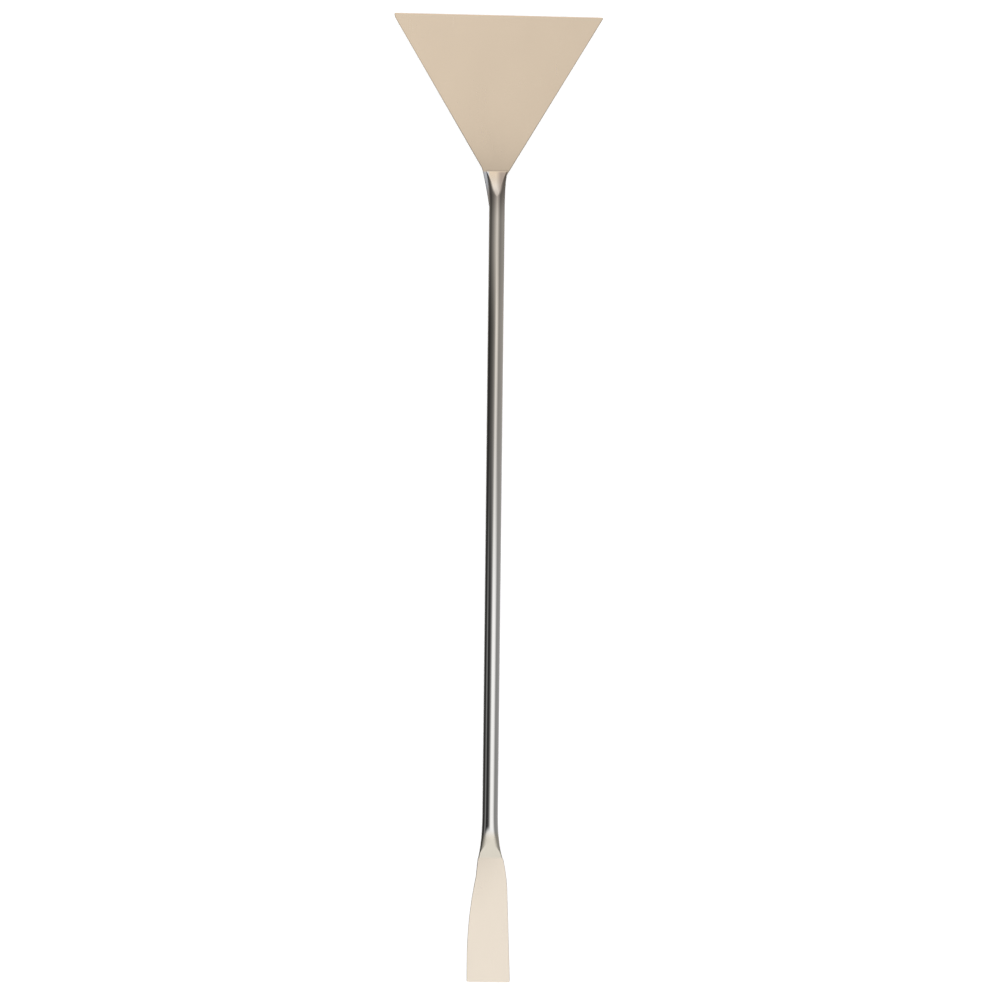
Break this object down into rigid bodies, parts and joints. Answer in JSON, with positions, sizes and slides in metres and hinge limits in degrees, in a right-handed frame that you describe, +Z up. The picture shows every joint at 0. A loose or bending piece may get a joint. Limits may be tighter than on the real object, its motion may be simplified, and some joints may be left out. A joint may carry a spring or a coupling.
{
  "type": "lab spatula",
  "caption": "Steel laboratory spatula: a round rod with a wide fan-shaped blade at one end and a narrow flared blade at the other.",
  "frame": {"origin": "on the surface that the spatula lies on, below the middle of the rod's axis", "axes": "+Y along the rod from the narrow blade to the fan blade, +Z up and square to the faces of both blades"},
  "size_m": [0.0648, 0.3004, 0.0048],
  "materials": {
    "stainless_steel": "polished round rod, satin blades"
  },
  "bodies": {
    "root": {"spatula": "stainless_steel"}
  },
  "joints": []
}
